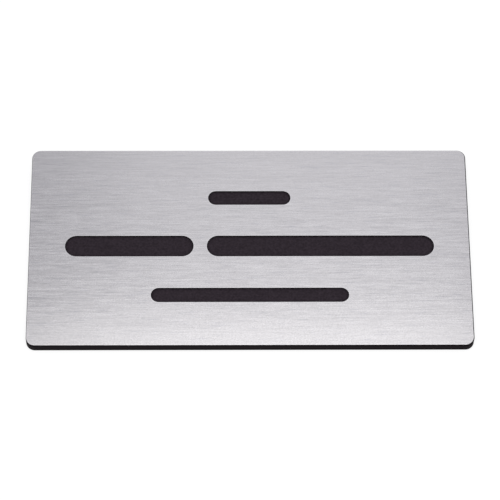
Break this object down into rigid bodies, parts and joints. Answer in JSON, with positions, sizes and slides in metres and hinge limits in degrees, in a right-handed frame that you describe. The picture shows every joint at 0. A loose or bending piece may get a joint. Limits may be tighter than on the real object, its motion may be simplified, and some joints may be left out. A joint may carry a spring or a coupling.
{
  "type": "mailbox sign",
  "caption": "Small rectangular plate of brushed metallic laminate on a black core, with rounded corners, engraved plain bars and an adhesive film on its back.",
  "frame": {"origin": "centre of the back of the adhesive film, the face that goes against the letter box", "axes": "+X to the right along the sign, +Y up the sign, +Z out of its engraved face"},
  "size_m": [0.07, 0.035, 0.0017],
  "materials": {
    "adhesive_film": "satin",
    "core_plate": "satin",
    "cap_layer": "satin"
  },
  "bodies": {
    "root": {"adhesive_film": "adhesive_film", "core_plate": "core_plate", "cap_layer": "cap_layer"}
  },
  "joints": []
}
